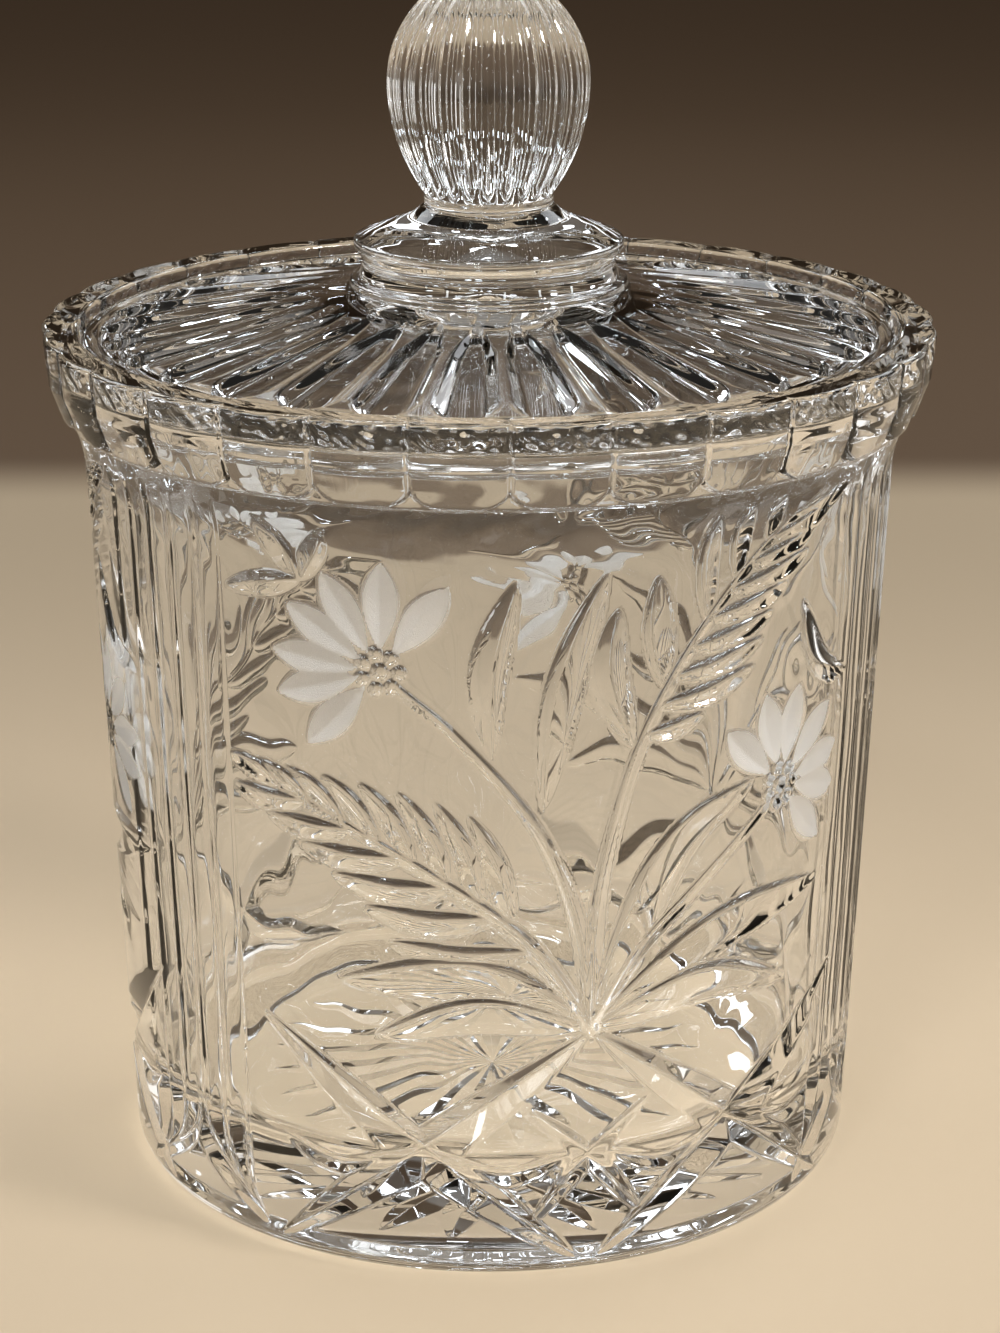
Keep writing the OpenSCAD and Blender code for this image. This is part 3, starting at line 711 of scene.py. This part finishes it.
# What gets through the glass of a lamp's light
SHADOW_COLOUR = (0.74, 0.74, 0.73, 1)
FROST_ROUGHNESS = 0.55
FROST_TRANSMISSION = 0.35
GRAIN_SCALE = 900
GRAIN_HEIGHT = 0.0002


def crystal(name, frosted=False):
    """Clear lead crystal. Shadow rays pass with a slight loss, so that the floor and the inside stay lit."""
    material = bpy.data.materials.new(name)
    material.use_nodes = True
    tree = material.node_tree
    tree.nodes.clear()
    glass = tree.nodes.new("ShaderNodeBsdfPrincipled")
    glass.inputs["Base Color"].default_value = GLASS_COLOUR
    glass.inputs["Transmission Weight"].default_value = 1
    glass.inputs["IOR"].default_value = GLASS_IOR
    glass.inputs["Roughness"].default_value = 0.0
    clear = tree.nodes.new("ShaderNodeBsdfTransparent")
    clear.inputs["Color"].default_value = SHADOW_COLOUR
    path = tree.nodes.new("ShaderNodeLightPath")
    mix = tree.nodes.new("ShaderNodeMixShader")
    output = tree.nodes.new("ShaderNodeOutputMaterial")
    tree.links.new(path.outputs["Is Shadow Ray"], mix.inputs[0])
    tree.links.new(glass.outputs[0], mix.inputs[1])
    tree.links.new(clear.outputs[0], mix.inputs[2])
    tree.links.new(mix.outputs[0], output.inputs["Surface"])
    if frosted:
        add_frost(tree, glass)
    return material


def between(tree, share, first, second):
    """Value that goes from the first to the second as the share goes from 0 to 1."""
    span = tree.nodes.new("ShaderNodeMapRange")
    span.inputs["To Min"].default_value = first
    span.inputs["To Max"].default_value = second
    tree.links.new(share, span.inputs["Value"])
    return span.outputs[0]


def add_frost(tree, glass):
    """Makes the glass rough, whitish and finely grained as far as the mesh's attribute frost says."""
    mask = tree.nodes.new("ShaderNodeAttribute")
    mask.attribute_name = "frost"
    frost = mask.outputs["Fac"]
    tree.links.new(between(tree, frost, 0.0, FROST_ROUGHNESS), glass.inputs["Roughness"])
    tree.links.new(between(tree, frost, 1.0, FROST_TRANSMISSION), glass.inputs["Transmission Weight"])
    grain = tree.nodes.new("ShaderNodeTexNoise")
    grain.inputs["Scale"].default_value = GRAIN_SCALE
    grain.inputs["Detail"].default_value = 3
    bump = tree.nodes.new("ShaderNodeBump")
    bump.inputs["Distance"].default_value = GRAIN_HEIGHT
    tree.links.new(grain.outputs["Fac"], bump.inputs["Height"])
    tree.links.new(frost, bump.inputs["Strength"])
    tree.links.new(bump.outputs[0], glass.inputs["Normal"])


def fused_joint():
    """The knob is fused hot to the lid, so light crosses the disc where they meet as if it weren't there."""
    material = bpy.data.materials.new("fused_joint")
    material.use_nodes = True
    tree = material.node_tree
    tree.nodes.clear()
    through = tree.nodes.new("ShaderNodeBsdfTransparent")
    output = tree.nodes.new("ShaderNodeOutputMaterial")
    tree.links.new(through.outputs[0], output.inputs["Surface"])
    return material


def mark_joint(piece, joint):
    """Gives the faces in the disc between the neck and the collar the joint's material."""
    piece.data.materials.append(joint)
    for face in piece.data.polygons:
        x, y, z = (v / MM for v in face.center)
        if abs(z - COLLAR_TOP_Z) < 0.01 and math.hypot(x, y) < NECK_R:
            face.material_index = 1


jar = make_jar()
lid = make_lid()
knob = make_knob()
jar.data.materials.append(crystal("jar_glass", frosted=True))
lid.data.materials.append(crystal("lid_glass"))
knob.data.materials.append(crystal("knob_glass"))
joint = fused_joint()
mark_joint(lid, joint)
mark_joint(knob, joint)
for piece, body, nodes, slot in (
    (jar, "jar", ("jar",), "jar_glass"),
    (lid, "lid", ("lid",), "lid_glass"),
    (knob, "lid", ("knob",), "knob_glass"),
):
    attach(piece, body)
    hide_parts(*nodes)


# ---------------------------------------------------------------- camera, floor and light
def aim(thing, place, target):
    """Puts a thing at a place and turns its -Z axis to the target."""
    thing.location = place
    direction = np.array(target) - np.array(place)
    flat = math.hypot(direction[0], direction[1])
    thing.rotation_euler = (math.atan2(flat, -direction[2]), 0, math.atan2(-direction[0], direction[1]))


# The photo's camera, solved from the jar's ellipses: metres, and the way it is turned and pitched
FOCAL_PX = 3324.5
FRAME_H_PX = 1333
SENSOR = 36
CAMERA_TURN = math.radians(-14.5)
CAMERA_AWAY = 0.5862
CAMERA_H = 0.2865
CAMERA_PITCH = 0.3215
CAMERA_YAW = 0.0034

camera_data = bpy.data.cameras.new("camera")
camera_data.sensor_fit = "VERTICAL"
camera_data.sensor_height = SENSOR
camera_data.lens = FOCAL_PX * SENSOR / FRAME_H_PX
camera_data.clip_start = 0.02
camera = bpy.data.objects.new("camera", camera_data)
bpy.context.scene.collection.objects.link(camera)
camera.location = (CAMERA_AWAY * math.sin(CAMERA_TURN), -CAMERA_AWAY * math.cos(CAMERA_TURN), CAMERA_H)
camera.rotation_euler = (math.pi / 2 - CAMERA_PITCH, 0, CAMERA_TURN - CAMERA_YAW)
bpy.context.scene.camera = camera

# Colours of the floor from near to far, and of the world low down, at the sides, at the back and on top
FLOOR_R = 3.0
FLOOR_NEAR = (0.64, 0.51, 0.36, 1)
FLOOR_FAR = (0.43, 0.34, 0.235, 1)
FLOOR_BACK = (0.12, 0.078, 0.047, 1)
WORLD_LOW = (0.38, 0.33, 0.27, 1)
WORLD_SIDE = (0.19, 0.16, 0.125, 1)
WORLD_BACK = (0.06, 0.04, 0.025, 1)
WORLD_TOP = (0.24, 0.23, 0.215, 1)


def away(tree, source):
    """How far a point lies, or a direction points, away from the camera's side, along the floor."""
    along = tree.nodes.new("ShaderNodeVectorMath")
    along.operation = "DOT_PRODUCT"
    along.inputs[1].default_value = (-math.sin(CAMERA_TURN), math.cos(CAMERA_TURN), 0)
    tree.links.new(source, along.inputs[0])
    return along.outputs["Value"]


def blended(tree, value, start, end, first, second):
    """Colour that goes from the first to the second as the value goes from start to end."""
    share = tree.nodes.new("ShaderNodeMapRange")
    share.interpolation_type = "SMOOTHSTEP"
    share.inputs["From Min"].default_value = start
    share.inputs["From Max"].default_value = end
    mix = tree.nodes.new("ShaderNodeMix")
    mix.data_type = "RGBA"
    tree.links.new(value, share.inputs["Value"])
    tree.links.new(share.outputs[0], mix.inputs["Factor"])
    for name, colour in (("A", first), ("B", second)):
        socket = next(i for i in mix.inputs if i.name == name and i.type == "RGBA")
        if isinstance(colour, tuple):
            socket.default_value = colour
        else:
            tree.links.new(colour, socket)
    return next(o for o in mix.outputs if o.type == "RGBA")


bpy.ops.mesh.primitive_circle_add(vertices=128, radius=FLOOR_R, fill_type="NGON")
floor = bpy.context.object
floor.name = "floor"
paint_floor = bpy.data.materials.new("floor")
paint_floor.use_nodes = True
tree = paint_floor.node_tree
base = tree.nodes["Principled BSDF"]
base.inputs["Roughness"].default_value = 0.6
base.inputs["Specular IOR Level"].default_value = 0.2
coords = tree.nodes.new("ShaderNodeTexCoord")
distance = away(tree, coords.outputs["Object"])
# Painted light falloff: the floor is painted darker from near to far, then dark brown beyond
floor_painted_falloff = blended(tree, distance, 0.0, 0.42, FLOOR_NEAR, FLOOR_FAR)
tree.links.new(blended(tree, distance, 0.44, 0.50, floor_painted_falloff, FLOOR_BACK), base.inputs["Base Color"])
floor.data.materials.append(paint_floor)

world = bpy.data.worlds.new("world")
bpy.context.scene.world = world
world.use_nodes = True
tree = world.node_tree
coords = tree.nodes.new("ShaderNodeTexCoord")
direction = coords.outputs["Generated"]
split = tree.nodes.new("ShaderNodeSeparateXYZ")
tree.links.new(direction, split.inputs[0])
side = blended(tree, split.outputs["Z"], 0.05, 0.3, WORLD_LOW, WORLD_SIDE)
around = blended(tree, away(tree, direction), 0.1, 0.65, side, WORLD_BACK)
sky = blended(tree, split.outputs["Z"], 0.45, 0.9, around, WORLD_TOP)
tree.links.new(sky, tree.nodes["Background"].inputs["Color"])


def softbox(name, place, size, power, colour=(1, 0.97, 0.92)):
    """Rectangular lamp that faces the jar. Metres and watts."""
    data = bpy.data.lights.new(name, "AREA")
    data.shape = "RECTANGLE"
    data.size, data.size_y = size
    data.energy = power
    data.color = colour
    lamp = bpy.data.objects.new(name, data)
    bpy.context.scene.collection.objects.link(lamp)
    aim(lamp, place, (0, 0, 0.08))


GLINTS = 72
GLINT_STEP = 137.5
GLINT_START = 20
softbox("right_lamp", (0.62, -0.62, 0.95), (0.22, 0.22), 7.5)
softbox("left_lamp", (-0.45, -0.75, 1.05), (0.18, 0.18), 3.4, (0.93, 0.97, 1))
softbox("overhead", (0, -0.05, 1.3), (0.5, 0.5), 1.4, (1, 0.98, 0.96))
softbox("back_left", (-0.45, 0.85, 0.75), (0.55, 0.35), 1.8, (0.94, 0.97, 1))
softbox("back_right", (0.8, 0.6, 0.8), (0.55, 0.35), 1.8, (0.94, 0.97, 1))
softbox("left_card", (-0.95, 0.35, 0.16), (0.6, 0.26), 0.6)
softbox("right_card", (0.95, 0.45, 0.16), (0.6, 0.26), 0.6)
# Small lamps on a spiral all round, for the sparkle of the cuts
for k in range(GLINTS):
    turn = math.radians(GLINT_STEP * k + GLINT_START)
    height = 0.25 + 1.05 * k / GLINTS
    out = 1.2 - 0.6 * k / GLINTS
    place = (out * math.cos(turn), out * math.sin(turn), height)
    softbox(f"glint_{k}", place, (0.04, 0.04), 0.068, (0.85, 0.93, 1))

cycles = bpy.context.scene.cycles
cycles.max_bounces = 32
cycles.transmission_bounces = 32
cycles.transparent_max_bounces = 24
bpy.context.scene.view_settings.view_transform = "Standard"
